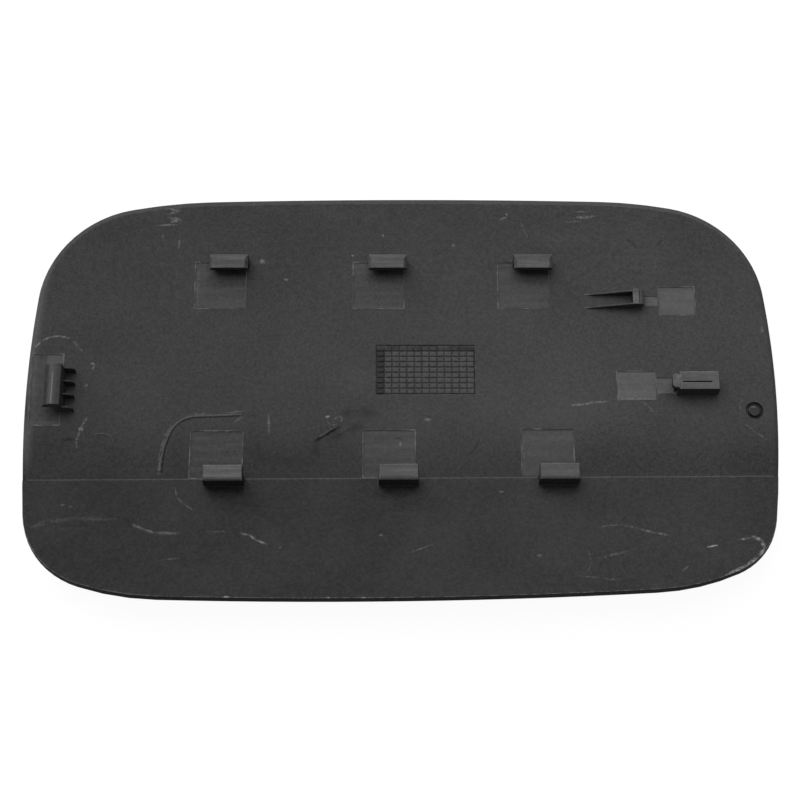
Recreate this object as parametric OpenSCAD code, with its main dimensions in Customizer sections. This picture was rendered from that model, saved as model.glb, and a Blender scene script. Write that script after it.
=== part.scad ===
// Clip-on fuel flap: one curved moulded panel with a creased lower strip, shown with its inner side up.
// X runs along the vehicle, Y up the body side, Z out of the inner face. The panel lies on its outer skin.

/* [Panel] */
// Length of the panel along the vehicle
panel_w = 199.6; // [170:0.2:230]
// Height of the panel, measured flat across the mould
panel_h = 116.5; // [110:0.5:125]
// Wall thickness of the moulding
wall = 2.6; // [2:0.1:3.2]
// Radius of the body curve from the top edge to the crease
curve_r = 1500; // [1200:50:2500]

/* [Crease] */
// Distance of the crease below the middle of the panel
crease_drop = 22.3; // [20:0.1:25]
// Turn of the crease line against the length
crease_turn = 0.32; // [0:0.02:0.6]
// Angle at which the lower strip leaves the crease
crease_angle = 17; // [12:0.5:20]
// Radius of the body curve below the crease
strip_r = 700; // [500:10:1000]

/* [Outline] */
// Radius of the left side
left_r = 285; // [260:1:320]
// Height of the widest point of the left side
left_mid = -0.9; // [-4:0.1:4]
// Radius of the right side
right_r = 238; // [220:1:270]
// Height of the widest point of the right side
right_mid = 1.3; // [-4:0.1:4]
// Radius of the top edge
top_r = 2200; // [2000:20:2600]
// Place of the highest point of the top edge
top_mid = 3.7; // [-4:0.1:8]
// Radius of the bottom edge
bottom_r = 1380; // [1300:10:1500]
// Place of the lowest point of the bottom edge
bottom_mid = -20; // [-24:0.5:-16]
// Radius of the top left corner
corner_tl = 29.8; // [28:0.2:32]
// Radius of the top right corner
corner_tr = 29.8; // [28:0.2:32]
// Radius of the bottom right corner
corner_br = 20.6; // [19:0.2:23]
// Radius of the bottom left corner
corner_bl = 24.8; // [23:0.2:27]
// Fall from the top edge to the top left corner arc
fall_tl = 2.6; // [2.4:0.1:3.2]
// Fall from the top edge to the top right corner arc
fall_tr = 2.15; // [2:0.05:2.6]
// Rise from the bottom edge to the bottom right corner arc
fall_br = 6.1; // [5.8:0.1:6.6]
// Rise from the bottom edge to the bottom left corner arc
fall_bl = 3; // [2.8:0.1:3.4]
// Radius of the shoulder between the top edge and the top left corner
shoulder_tl = 140; // [125:1:155]
// Radius of the shoulder between the top edge and the top right corner
shoulder_tr = 120; // [110:1:130]
// Radius of the shoulder between the bottom edge and the bottom right corner
shoulder_br = 57; // [52:1:62]
// Radius of the shoulder between the bottom edge and the bottom left corner
shoulder_bl = 67; // [62:1:72]

/* [Edge] */
// Draft angle of the cut edge
edge_draft = 8; // [4:0.5:10]
// Square part of the edge that is left under the rim bevel
edge_flat = 0.3; // [0.2:0.05:0.6]
// Slope of the bevel round the inner face above the crease
bevel_slope = 45; // [38:1:55]

/* [Hooks] */
// Width of each hook along the panel
hook_w = 10.3; // [8:0.1:12]
// Depth of each hook from its back to the end of its lip
hook_depth = 4.15; // [3.6:0.05:4.6]
// Thickness of each hook's leg
hook_leg = 2; // [1.6:0.05:2.2]
// Thickness of each hook's lip
hook_lip = 1.6; // [1.2:0.05:2]
// Height of the upper hooks above the inner face
upper_height = 5; // [4.4:0.1:6]
// Height of the lower hooks above the inner face
lower_height = 6.4; // [5.8:0.1:7.2]
// Bevel along the back of each upper hook
upper_bevel = 1.4; // [0.6:0.05:1.6]
// Bevel along the back of each lower hook
lower_bevel = 0.4; // [0.2:0.05:1]
// Height of the upper hooks' backs on the panel
upper_y = 39.3; // [37:0.1:41]
// Place of the first upper hook along the panel
upper_x = -46.4; // [-48:0.1:-44]
// Distance from the first to the second upper hook
upper_pitch_a = 42.8; // [40:0.1:45]
// Distance from the second to the third upper hook
upper_pitch_b = 39.2; // [37:0.1:42]
// Place of the first lower hook along the panel
lower_x = -46; // [-48:0.1:-44]
// Distance from the first to the second lower hook
lower_pitch_a = 45.4; // [43:0.1:47]
// Distance from the second to the third lower hook
lower_pitch_b = 41.6; // [39:0.1:44]

/* [Lifter marks] */
// Depth of the marks that the mould's lifters leave
mark_depth = 0.15; // [0.05:0.01:0.3]
// Length of each hook's lifter mark along the panel
mark_w = 13.8; // [13:0.1:15]
// Height of each hook's lifter mark
mark_h = 13.4; // [12:0.1:14]
// Offset of each lifter mark from its hook along the panel
mark_shift = -2.5; // [-3.2:0.1:-2]
// Gap between the crease and the lower lifter marks
mark_gap = 0.25; // [0.15:0.05:0.5]
// Part of each upper hook that stands behind its lifter mark
mark_inset = 0.5; // [0.2:0.1:0.8]

/* [Left catch] */
// Length of the left catch up the panel
catch_len = 11.35; // [9:0.05:14]
// Lower end of the left catch
catch_y = -3.85; // [-6:0.05:-2]
// Distance from the left edge to the leg of the left catch
catch_inset = 8.4; // [8:0.1:10]
// Height of the left catch's ridge above the inner face
catch_height = 6.8; // [5.5:0.1:8]
// Thickness of the left catch's leg
catch_leg = 2.4; // [2:0.1:2.8]
// Reach of the left catch's lip towards the edge
catch_reach = 2.9; // [2.4:0.1:3.4]
// Number of gussets behind the left catch
gusset_count = 4; // [2:1:5]
// Thickness of each gusset
gusset_t = 0.45; // [0.4:0.05:1]
// Reach of each gusset along the panel
gusset_reach = 2.5; // [1.8:0.1:3]
// Height of each gusset above the inner face
gusset_height = 3.8; // [3:0.1:4.6]
// Length of the left catch's lifter mark up the panel
catch_mark_len = 20; // [18:0.5:23]
// Part of the left catch's lifter mark below the catch
catch_mark_drop = 3.75; // [3:0.05:5]
// Part of the left catch's lifter mark on the right of the leg's outer face
catch_mark_reach = 1.3; // [0.6:0.1:2]

/* [Right catches] */
// Place of the forked catch's block along the panel
fork_x = 62.2; // [60:0.1:64]
// Lower side of the forked catch
fork_y = 25.4; // [24:0.1:27]
// Width of the forked catch up the panel
fork_w = 4.3; // [4:0.1:5.5]
// Length of the two tapered ribs of the forked catch
fork_len = 12.8; // [10:0.1:15]
// Thickness of each tapered rib
fork_rib = 0.4; // [0.35:0.05:0.8]
// Height of the forked catch above the inner face
fork_height = 3.7; // [3:0.1:4.4]
// Length of the forked catch's block along the panel
fork_block = 3.1; // [2.8:0.1:3.6]
// Width of the fine groove across the forked catch's block
fork_groove = 0.25; // [0.2:0.05:0.4]
// Place of the slotted block along the panel
block_x = 73.2; // [71:0.1:75]
// Lower side of the slotted block
block_y = 0.8; // [-1:0.1:2]
// Length of the slotted block along the panel
block_len = 10.7; // [9:0.1:12]
// Width of the slotted block up the panel
block_w = 4.85; // [4.4:0.05:5.4]
// Height of the slotted block above the inner face
block_height = 5.2; // [4.4:0.1:6]
// Length of the slot in the top of the block
slot_len = 7.8; // [6:0.1:8.4]
// Width of the slot in the top of the block
slot_w = 0.35; // [0.25:0.05:0.6]
// Offset of the slot from the middle of the block
slot_drop = 0.4; // [0:0.05:0.8]
// Reach of the rounded nose of the block
nose_reach = 1.7; // [1.4:0.1:2.3]
// Width of the rounded nose of the block
nose_w = 3.8; // [3.4:0.1:4.2]
// Side of the square end of both right lifter marks
square_mark = 8.2; // [7.6:0.1:9]
// Reach of the forked catch's lifter mark to the right of its block
fork_mark_reach = 14; // [12:0.1:15]
// Reach of the slotted block's lifter mark to the left of the block
block_mark_reach = 15.8; // [14:0.1:17]

/* [Date grid and gate] */
// Left side of the date grid
grid_x = -6.7; // [-10:0.1:0]
// Lower side of the date grid
grid_y = 1; // [0:0.1:3]
// Width of each column of the date grid
grid_cell_w = 2; // [1.6:0.05:2.1]
// Height of each row of the date grid
grid_cell_h = 1.5; // [1.2:0.05:1.6]
// Number of plain columns in the date grid
grid_columns = 12; // [6:1:12]
// Number of plain rows in the date grid
grid_rows = 8; // [4:1:8]
// Width of the engraved lines of the date grid
grid_line = 0.36; // [0.2:0.02:0.5]
// Depth of the engraved lines
grid_depth = 0.26; // [0.1:0.02:0.4]
// Distance from the right edge to the gate mark
gate_inset = 6.3; // [5.5:0.1:8]
// Height of the gate mark on the panel
gate_y = -3.5; // [-6:0.1:0]
// Outer radius of the gate mark
gate_r = 2.35; // [2:0.05:3]
// Width of the groove round the gate mark, at its mouth
gate_groove = 0.95; // [0.6:0.05:1.2]
// Depth of the groove round the gate mark
gate_depth = 0.9; // [0.5:0.05:1.2]

/* [Hidden] */
$fa = 0.5;
$fs = 0.8;

// Depth to which every feature is rooted in the wall
root = wall * 0.5;
// Room that cutting shapes leave beyond what they cut
slack = 1;
// Step count that keeps the very large arcs true to a fiftieth of a millimetre
curve_steps = 720;

// Height of the outer skin over its lowest line, and of the inner face above the crease
function skin_z(y) = curve_r - sqrt(curve_r * curve_r - y * y);
function inner_z(y) = skin_z(y) + wall;
function slope(y) = asin(y / curve_r);
function crease_y(x) = x * tan(crease_turn) - crease_drop;

// Lower strip: a round disc whose skin passes through the crease and leans out at the crease angle
strip_centre = [strip_r * sin(crease_angle) - crease_drop, skin_z(crease_drop) + strip_r * cos(crease_angle)];
function strip_z(y) = strip_centre[1] - sqrt(strip_r * strip_r - pow(y - strip_centre[0], 2));

// Circles that touch from the inside are found by their centres' distances: each is [centre, radius]
function meet(a, da, b, db, side) =
    let (d = norm(b - a), u = (b - a) / d, m = (d * d + da * da - db * db) / (2 * d))
    a + m * u + side * sqrt(max(da * da - m * m, 0)) * [u[1], -u[0]];
function nearer(a, b) = abs(a[0]) < abs(b[0]) ? a : b;
function corner(side_arc, s, y, r) =
    [side_arc[0] + [s * sqrt(pow(side_arc[1] - r, 2) - pow(y - side_arc[0][1], 2)), y - side_arc[0][1]], r];
function shoulder(small, big, r) =
    [nearer(meet(small[0], r - small[1], big[0], big[1] - r, 1),
        meet(small[0], r - small[1], big[0], big[1] - r, -1)), r];
// Outward direction at the point where a smaller circle touches a larger one
function outward(small, big) = (small[0] - big[0]) / norm(small[0] - big[0]);

half_w = panel_w / 2;
half_h = panel_h / 2;
TOP = [[top_mid, half_h - top_r], top_r];
BOTTOM = [[bottom_mid, bottom_r - half_h], bottom_r];
LEFT = [[left_r - half_w, left_mid], left_r];
RIGHT = [[half_w - right_r, right_mid], right_r];
corner_a = corner(LEFT, -1, half_h - corner_tl - fall_tl, corner_tl);
corner_b = corner(RIGHT, 1, half_h - corner_tr - fall_tr, corner_tr);
corner_c = corner(RIGHT, 1, corner_br + fall_br - half_h, corner_br);
corner_d = corner(LEFT, -1, corner_bl + fall_bl - half_h, corner_bl);
// Each corner runs from its side over a shoulder into the top or bottom edge: [side, corner, shoulder, edge]
CORNERS = [
    [LEFT, corner_a, shoulder(corner_a, TOP, shoulder_tl), TOP],
    [RIGHT, corner_b, shoulder(corner_b, TOP, shoulder_tr), TOP],
    [RIGHT, corner_c, shoulder(corner_c, BOTTOM, shoulder_br), BOTTOM],
    [LEFT, corner_d, shoulder(corner_d, BOTTOM, shoulder_bl), BOTTOM]
];
// Neighbouring arcs cross by this hair's breadth instead of only touching
hair = 0.005;
// Reach of the cutting wedges past the corners
far = panel_h * 0.4;
function shoulder_wedge(c) =
    let (middle = c[1][0], at_side = outward(c[1], c[0]), at_shoulder = outward(c[1], c[2]),
        at_edge = outward(c[2], c[3]), edge_point = c[2][0] + c[2][1] * at_edge, depth = c[1][1] * 0.7)
    [middle, edge_point - depth * at_edge, edge_point + depth * at_edge,
        middle + far * (at_shoulder + 0.5 * at_side)];
function corner_wedge(c) =
    let (middle = c[1][0], at_side = outward(c[1], c[0]), at_shoulder = outward(c[1], c[2]))
    [middle, middle + far * at_side, middle + far * (at_side + at_shoulder), middle + far * at_shoulder];
// Every rounding of the outline, as [arc, wedge that it is cut in, how far its arc stands proud]
ROUNDS = [for (c = CORNERS) each [[c[2], shoulder_wedge(c), hair], [c[1], corner_wedge(c), 2 * hair]]];

// The outline as points, grown evenly, counterclockwise from the right side: the edge bevel and draft use it
function turn(v) = (atan2(v[1], v[0]) + 360) % 360;
function arc_points(arc, from, to, grow) =
    let (steps = ceil(max(abs(to - from) / 6, arc[1] * abs(to - from) * PI / 180 / 9)))
    [for (i = [0:steps - 1]) let (a = from + (to - from) * i / steps)
        arc[0] + (arc[1] + grow) * [cos(a), sin(a)]];
function corner_points(c, grow, up) =
    let (a = turn(outward(c[1], c[0])), b = turn(outward(c[1], c[2])), e = turn(outward(c[2], c[3])))
    up ? [each arc_points(c[1], a, b, grow), each arc_points(c[2], b, e, grow)]
        : [each arc_points(c[2], e, b, grow), each arc_points(c[1], b, a, grow)];
function edge_turn(c) = turn(outward(c[2], c[3]));
function side_turn(c) = turn(outward(c[1], c[0]));
function ring(grow) = [
    each arc_points(RIGHT, side_turn(CORNERS[2]) - 360, side_turn(CORNERS[1]), grow),
    each corner_points(CORNERS[1], grow, true),
    each arc_points(TOP, edge_turn(CORNERS[1]), edge_turn(CORNERS[0]), grow),
    each corner_points(CORNERS[0], grow, false),
    each arc_points(LEFT, side_turn(CORNERS[0]), side_turn(CORNERS[3]), grow),
    each corner_points(CORNERS[3], grow, true),
    each arc_points(BOTTOM, edge_turn(CORNERS[3]), edge_turn(CORNERS[2]), grow),
    each corner_points(CORNERS[2], grow, false)
];

// Levels at which the rim bevel and the strip's draft begin, and the reach of the strip's edge
draft_run = tan(edge_draft);
bevel_run = 1 / tan(bevel_slope);
bevel_start = edge_flat + skin_z(half_h);
draft_start = skin_z(crease_drop) + wall / 2;
strip_top = strip_z(-half_h) + wall * 2;
bottom_guess = draft_run * (strip_z(-half_h) - draft_start) - half_h;
bottom_edge = draft_run * (strip_z(bottom_guess) - draft_start) - half_h;
// Middle between the top edge and the strip's lower edge, which becomes the origin
centre_y = (half_h + bottom_edge) / 2;

// Places of the hooks and of the left catch
UPPER_X = [upper_x, upper_x + upper_pitch_a, upper_x + upper_pitch_a + upper_pitch_b];
LOWER_X = [lower_x, lower_x + lower_pitch_a, lower_x + lower_pitch_a + lower_pitch_b];
catch_x = catch_inset - half_w;

module disc(arc, z, h, grow) {
    translate([arc[0][0], arc[0][1], z]) cylinder(h = h, r = arc[1] + grow, $fn = curve_steps);
}

// Upright solid outline of true arcs, with the first count roundings cut
module outline_block(z, h, count) {
    if (count == 0) {
        intersection() {
            disc(TOP, z, h, 0);
            disc(BOTTOM, z, h, 0);
            disc(LEFT, z, h, 0);
            disc(RIGHT, z, h, 0);
        }
    } else {
        part = ROUNDS[count - 1];
        difference() {
            outline_block(z, h, count - 1);
            difference() {
                translate([0, 0, z - slack]) linear_extrude(h + 2 * slack) polygon(part[1]);
                disc(part[0], z - 2 * slack, h + 4 * slack, part[2]);
            }
        }
    }
}

// Outline that narrows evenly from one level to the next
module tapered_block(z, h, grow_low, grow_high) {
    hull() {
        translate([0, 0, z]) linear_extrude(hair) polygon(ring(grow_low));
        translate([0, 0, z + h]) linear_extrude(hair) polygon(ring(grow_high));
    }
}

// Cross-section of the wall, drawn with Z to the left and Y up
module wall_section() {
    top = strip_z(-half_h) + wall * 2 + slack;
    intersection() {
        difference() {
            intersection() {
                translate([-curve_r, 0]) circle(curve_r, $fn = curve_steps);
                translate([-strip_centre[1], strip_centre[0]]) circle(strip_r, $fn = curve_steps);
            }
            intersection() {
                translate([-curve_r, 0]) circle(curve_r - wall, $fn = curve_steps);
                translate([-strip_centre[1], strip_centre[0]]) circle(strip_r - wall, $fn = curve_steps);
            }
        }
        translate([-top, -panel_h]) square([top + slack, 2 * panel_h]);
    }
}

// Endless curved sheet with the crease in it
module sheet() {
    rotate([0, 0, crease_turn])
        translate([-panel_w, 0, 0])
            rotate([0, 90, 0])
                linear_extrude(2 * panel_w)
                    wall_section();
}

// Rim bevel: what lies above the crease and outside an outline that narrows steeply
module rim_waste() {
    rise = wall * 2;
    difference() {
        rotate([0, 0, crease_turn])
            translate([-panel_w, -crease_drop, bevel_start - slack])
                cube([2 * panel_w, panel_h, rise]);
        tapered_block(bevel_start - 2 * slack, rise + 2 * slack, 2 * slack * bevel_run, -rise * bevel_run);
    }
}

// Draft of the lower strip's edge, which narrows away from the outer skin
module strip_waste() {
    rise = strip_top - draft_start + slack;
    difference() {
        rotate([0, 0, crease_turn])
            translate([-panel_w, -panel_h - crease_drop, draft_start])
                cube([2 * panel_w, panel_h, rise]);
        tapered_block(draft_start - slack, rise + 2 * slack, slack * draft_run, -(rise + slack) * draft_run);
    }
}

module panel() {
    difference() {
        intersection() {
            sheet();
            outline_block(-slack, strip_top + 2 * slack, len(ROUNDS));
        }
        rim_waste();
        strip_waste();
    }
}

// Sets its children on the inner face, square to it
module on_face(x, y) {
    translate([x, y, inner_z(y)]) rotate([slope(y), 0, 0]) children();
}

// Shallow sunk mark, given by its lower left corner and size
module mark(x, y, w, h) {
    on_face(x + w / 2, y + h / 2) translate([-w / 2, -h / 2, -mark_depth]) cube([w, h, slack]);
}

// Square hook with its lip towards +Y, its back on Y = 0 and its foot on Z = 0
module hook(height, bevel) {
    under = height - hook_lip;
    fillet = hook_lip * 0.3;
    flare = root * draft_run;
    shoulder_z = height - bevel / 2;
    end = hook_w / 2 - bevel * 0.6;
    intersection() {
        translate([-hook_w, 0, 0]) rotate([90, 0, 90]) linear_extrude(2 * hook_w) polygon([
            [0, -root], [0, shoulder_z], [bevel, height],
            [hook_depth, height], [hook_depth, under], [hook_leg + fillet, under],
            [hook_leg, under - fillet], [hook_leg, -root]
        ]);
        translate([0, hook_depth * 2, 0]) rotate([90, 0, 0]) linear_extrude(hook_depth * 3) polygon([
            [-hook_w / 2 - flare, -root], [-hook_w / 2, shoulder_z], [-end, height],
            [end, height], [hook_w / 2, shoulder_z], [hook_w / 2 + flare, -root]
        ]);
    }
}

module upper_hooks() {
    for (x = UPPER_X)
        translate([x, upper_y, inner_z(upper_y - hook_depth / 2)])
            rotate([0, 0, 180])
                hook(upper_height, upper_bevel);
}

// The lower hooks stand on the crease, with their legs' lip side along it
module lower_hooks() {
    for (x = LOWER_X)
        translate([x, crease_y(x) - hook_leg, inner_z(crease_drop)])
            rotate([0, 0, crease_turn])
                hook(lower_height, lower_bevel);
}

module hook_marks() {
    for (x = UPPER_X)
        mark(x - mark_w / 2 + mark_shift, upper_y - mark_inset - mark_h, mark_w, mark_h);
    for (x = LOWER_X)
        mark(x - mark_w / 2 + mark_shift, crease_y(x) + mark_gap, mark_w, mark_h - mark_gap);
}

// Long catch at the left, with its lip towards the edge and gussets behind it
module left_catch() {
    lip_top = catch_height * 0.78;
    lip_tip = catch_height * 0.65;
    lip_under = catch_height * 0.59;
    gusset_end = catch_leg + gusset_reach;
    gusset_pitch = (catch_len - gusset_t) / (gusset_count - 1);
    on_face(catch_x, catch_y + catch_len / 2) translate([0, catch_len / 2, 0]) rotate([90, 0, 0]) {
        linear_extrude(catch_len) polygon([
            [0, -root], [0, lip_under], [-catch_reach * 0.9, lip_under], [-catch_reach, lip_tip],
            [-catch_reach * 0.8, lip_top], [0, catch_height], [catch_leg * 0.87, catch_height * 0.9],
            [catch_leg, -root]
        ]);
        for (i = [0:gusset_count - 1])
            translate([0, 0, i * gusset_pitch]) linear_extrude(gusset_t) polygon([
                [catch_leg / 2, -root], [catch_leg / 2, gusset_height],
                [catch_leg + gusset_reach * 0.6, gusset_height * 0.9], [gusset_end, gusset_height * 0.65],
                [gusset_end, -root]
            ]);
    }
}

module left_marks() {
    mark(-half_w - slack, catch_y - catch_mark_drop, catch_inset + slack + catch_mark_reach, catch_mark_len);
}

// Small catch with its lip towards the right and two thin ribs that rise to it
module fork_catch() {
    lip_under = fork_height * 0.5;
    leg = fork_block * 0.65;
    groove_x = fork_block * 0.52;
    groove_floor = fork_height - fork_groove * 2;
    rib_inset = fork_rib / 2;
    on_face(fork_x, fork_y + fork_w / 2) translate([0, fork_w / 2, 0]) rotate([90, 0, 0]) {
        linear_extrude(fork_w) polygon([
            [0, -root], [0, fork_height], [groove_x, fork_height], [groove_x, groove_floor],
            [groove_x + fork_groove, groove_floor], [groove_x + fork_groove, fork_height],
            [fork_block, fork_height * 0.8], [fork_block, lip_under], [leg, lip_under], [leg, -root]
        ]);
        for (z = [rib_inset, fork_w - fork_rib])
            translate([0, 0, z]) linear_extrude(fork_rib) polygon([
                [-fork_len, -root], [-fork_len, 0], [leg / 2, fork_height], [leg / 2, -root]
            ]);
    }
}

// Square lifter mark with a narrower neck towards the catch: neck_end is where the neck stops, along X
module necked_mark(x, middle, w, neck_w, neck_end) {
    neck_from = min(x + w / 2, neck_end);
    neck_to = max(x + w / 2, neck_end);
    on_face(x, middle) translate([-x, 0, -mark_depth]) linear_extrude(slack) {
        translate([x, -square_mark / 2]) square([w, square_mark]);
        translate([neck_from, -neck_w / 2]) square([neck_to - neck_from, neck_w]);
    }
}

module fork_marks() {
    w = square_mark * 1.2;
    block_end = fork_x + fork_block;
    neck_end = block_end + mark_inset;
    necked_mark(block_end + fork_mark_reach - w, fork_y + fork_w * 0.51, w, fork_w * 0.63, neck_end);
}

// Block with a slot in its top and a rounded nose towards the left
module slotted_block() {
    flare = root * draft_run;
    edge = block_height * 0.06;
    nose_t = block_height * 0.34;
    nose_r = nose_w * 0.28;
    nose_top = block_height - edge;
    slot_x = (block_len - slot_len) * 0.3;
    on_face(block_x + block_len / 2, block_y + block_w / 2) translate([-block_len / 2, 0, 0]) {
        difference() {
            translate([0, block_w / 2, 0]) rotate([90, 0, 0]) linear_extrude(block_w) polygon([
                [-flare, -root], [0, nose_top], [edge, block_height], [block_len - edge, block_height],
                [block_len, nose_top], [block_len + flare, -root]
            ]);
            translate([slot_x, -slot_drop - slot_w / 2, block_height - slack])
                cube([slot_len, slot_w, 2 * slack]);
        }
        translate([0, 0, nose_top - nose_t]) linear_extrude(nose_t) {
            translate([nose_r - nose_reach, -nose_w / 2]) square([nose_reach - nose_r + slack, nose_w]);
            translate([-nose_reach, nose_r - nose_w / 2]) square([nose_reach, nose_w - 2 * nose_r]);
            for (s = [-1, 1])
                translate([nose_r - nose_reach, s * (nose_w / 2 - nose_r)]) circle(nose_r, $fn = 48);
        }
        translate([-nose_reach / 2, -nose_w * 0.3, -root])
            cube([nose_reach, nose_w * 0.6, root + block_height - nose_t]);
    }
}

module block_marks() {
    w = square_mark * 1.27;
    necked_mark(block_x - block_mark_reach, block_y + block_w * 0.55, w, block_w * 0.89, block_x);
}

// Engraved lines of the date grid, with a slightly wider head column and head row
module date_grid() {
    head = 0.1;
    cell = [grid_cell_w, grid_cell_h];
    whole = [cell[0] * (grid_columns + 1) + head, cell[1] * (grid_rows + 1) + head];
    on_face(grid_x + whole[0] / 2, grid_y + whole[1] / 2)
        translate([-whole[0] / 2, -whole[1] / 2, -grid_depth])
            linear_extrude(slack) difference() {
                square(whole + [grid_line, grid_line]);
                for (i = [0:grid_columns], j = [0:grid_rows])
                    translate([grid_line + i * cell[0] + (i > 0 ? head : 0), grid_line + j * cell[1]])
                        square([
                            cell[0] - grid_line + (i == 0 ? head : 0),
                            cell[1] - grid_line + (j == grid_rows ? head : 0)
                        ]);
            }
}

// Groove where the moulding was cut from its runner, round a stub that tapers to the top
module gate_groove_cut() {
    depth = gate_depth + slack;
    stub_r = gate_r - gate_groove;
    on_face(half_w - gate_inset, gate_y) translate([0, 0, -gate_depth]) difference() {
        cylinder(h = depth, r = gate_r, $fn = 64);
        translate([0, 0, -slack])
            cylinder(h = depth + 2 * slack, r1 = stub_r + depth / 4, r2 = stub_r - slack / 2, $fn = 64);
    }
}

module flap() {
    color([0.07, 0.07, 0.075]) translate([0, -centre_y, 0]) {
        difference() {
            panel();
            hook_marks();
            left_marks();
            fork_marks();
            block_marks();
            date_grid();
            gate_groove_cut();
        }
        upper_hooks();
        lower_hooks();
        left_catch();
        fork_catch();
        slotted_block();
    }
}

flap();
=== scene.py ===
# %% [markdown]
# # Fuel flap, inner side up
# The flap is one black plastic moulding that lies on its outer skin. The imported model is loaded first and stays
# where it is: everything below adds the thin ridges that moulding leaves, dresses the plastic, lights it and looks
# at it. Lengths are in metres, so a millimetre has a name of its own.

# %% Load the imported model
import math

import bpy
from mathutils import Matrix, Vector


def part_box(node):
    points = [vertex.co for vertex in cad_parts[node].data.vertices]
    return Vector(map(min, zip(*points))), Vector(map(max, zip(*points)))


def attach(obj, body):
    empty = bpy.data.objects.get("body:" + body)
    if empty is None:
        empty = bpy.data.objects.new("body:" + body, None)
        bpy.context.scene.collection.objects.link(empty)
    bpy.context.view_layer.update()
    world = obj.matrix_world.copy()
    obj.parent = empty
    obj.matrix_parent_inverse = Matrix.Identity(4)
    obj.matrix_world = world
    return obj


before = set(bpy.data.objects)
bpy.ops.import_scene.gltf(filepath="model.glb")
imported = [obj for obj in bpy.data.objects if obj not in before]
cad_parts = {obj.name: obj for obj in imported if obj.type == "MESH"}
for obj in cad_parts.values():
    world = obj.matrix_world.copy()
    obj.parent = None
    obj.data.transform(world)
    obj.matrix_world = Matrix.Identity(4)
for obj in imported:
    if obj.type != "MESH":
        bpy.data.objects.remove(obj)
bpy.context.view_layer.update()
MM = 0.001
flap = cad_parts["flap"]
low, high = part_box("flap")
print("flap measures", [round((b - a) / MM, 1) for a, b in zip(low, high)], "mm")

# %% [markdown]
# ## Camera
# The photographer stood in front of a table and looked steeply down at the flap. Its outline and its hooks fix the
# tilt and the lens: the lines of sight run together as they do from 45 cm away.

# %% Place the camera
CAMERA_TILT = math.radians(18.7)
CAMERA_DISTANCE = 453.4 * MM
CAMERA_TARGET = (-0.28 * MM, -1.28 * MM, 2.6 * MM)

camera_data = bpy.data.cameras.new("camera")
camera_data.lens = 77.0
camera_data.sensor_width = 36.0
camera = bpy.data.objects.new("camera", camera_data)
camera.location = (
    CAMERA_TARGET[0],
    CAMERA_TARGET[1] - CAMERA_DISTANCE * math.sin(CAMERA_TILT),
    CAMERA_TARGET[2] + CAMERA_DISTANCE * math.cos(CAMERA_TILT),
)
camera.rotation_euler = (CAMERA_TILT, 0.0, 0.0)
bpy.context.scene.collection.objects.link(camera)
bpy.context.scene.camera = camera
print("camera at", [round(v, 3) for v in camera.location])

# %% [markdown]
# ## Where the inner face lies
# The inner face is made of two large cylinders that meet at the crease. Ridges are set on it by this function, and
# the material uses the same sum to tell sunk marks from the face and from the hooks.

# %% Height of the inner face, in millimetres
WALL = 2.6
CURVE_R = 1500.0
MIDDLE = 0.72
CREASE_Y = -23.02
CREASE_TURN = math.tan(math.radians(0.32))
STRIP_R = 700.0
STRIP_MIDDLE = STRIP_R * math.sin(math.radians(17.0)) - 22.3
STRIP_TOP = 22.3**2 / (2 * CURVE_R) + STRIP_R * math.cos(math.radians(17.0))


def face_height(x, y):
    """Height of the inner face at a place above or below the crease."""
    across = y + MIDDLE - x * CREASE_TURN
    upper = WALL + across**2 / (2 * CURVE_R)
    strip = STRIP_TOP - math.sqrt((STRIP_R - WALL) ** 2 - (across - STRIP_MIDDLE) ** 2)
    return max(upper, strip)


print("face is", round(face_height(0, 0), 2), "mm up in the middle and", round(face_height(0, -50), 2), "on the strip")

# %% [markdown]
# ## Lifter marks
# Nine blocks of the mould slide sideways to free the hooks and catches. Each leaves a shallow sunk pad, which the
# model has, and a thin burr of plastic all round it. The pads are listed once: left, right, lower and upper side.

# %% The pads
UPPER_PADS = [(-55.8, -42.0, 24.68, 38.08), (-13.0, 0.8, 24.68, 38.08), (26.2, 40.0, 24.68, 38.08)]
LOWER_PADS = [(-55.4, -41.6, -23.0, -9.88), (-10.0, 3.8, -22.75, -9.62), (31.6, 45.4, -22.5, -9.39)]
FORK_PAD = (69.46, 79.3, 22.77, 30.97)
BLOCK_PAD = (57.4, 67.81, -1.35, 6.85)
LEFT_PAD = (-98.4, -90.1, -8.32, 11.68)
print(len(UPPER_PADS) + len(LOWER_PADS) + 3, "pads")

# %% [markdown]
# ## Burrs round the pads
# A burr is a low, ragged wall a fifth of a millimetre wide. It is made as by hand: a plane of the pad's size is
# inset, its middle is deleted, the frame that is left is cut into short lengths, raised, and roughened with a fixed
# seed. The three upper pads share one size, and so do the three lower ones, so each is modelled once and copied.

# %% Helpers for modelling by hand
BURR_WIDTH = 0.28
BURR_RISE = 0.05


def deselect_all():
    if bpy.context.object and bpy.context.object.mode != "OBJECT":
        bpy.ops.object.mode_set(mode="OBJECT")
    bpy.ops.object.select_all(action="DESELECT")


def make_active(piece):
    deselect_all()
    piece.select_set(True)
    bpy.context.view_layer.objects.active = piece


def settle(piece):
    """Moves the object's place, turn and size into its mesh."""
    make_active(piece)
    bpy.ops.object.transform_apply(location=True, rotation=True, scale=True)


def roughen(piece, amount, seed):
    """Shakes the mesh's points, always in the same way."""
    make_active(piece)
    bpy.ops.object.mode_set(mode="EDIT")
    bpy.ops.mesh.select_all(action="SELECT")
    bpy.ops.transform.vertex_random(offset=amount * MM, uniform=0.0, normal=0.0, seed=seed)
    bpy.ops.object.mode_set(mode="OBJECT")


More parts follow.
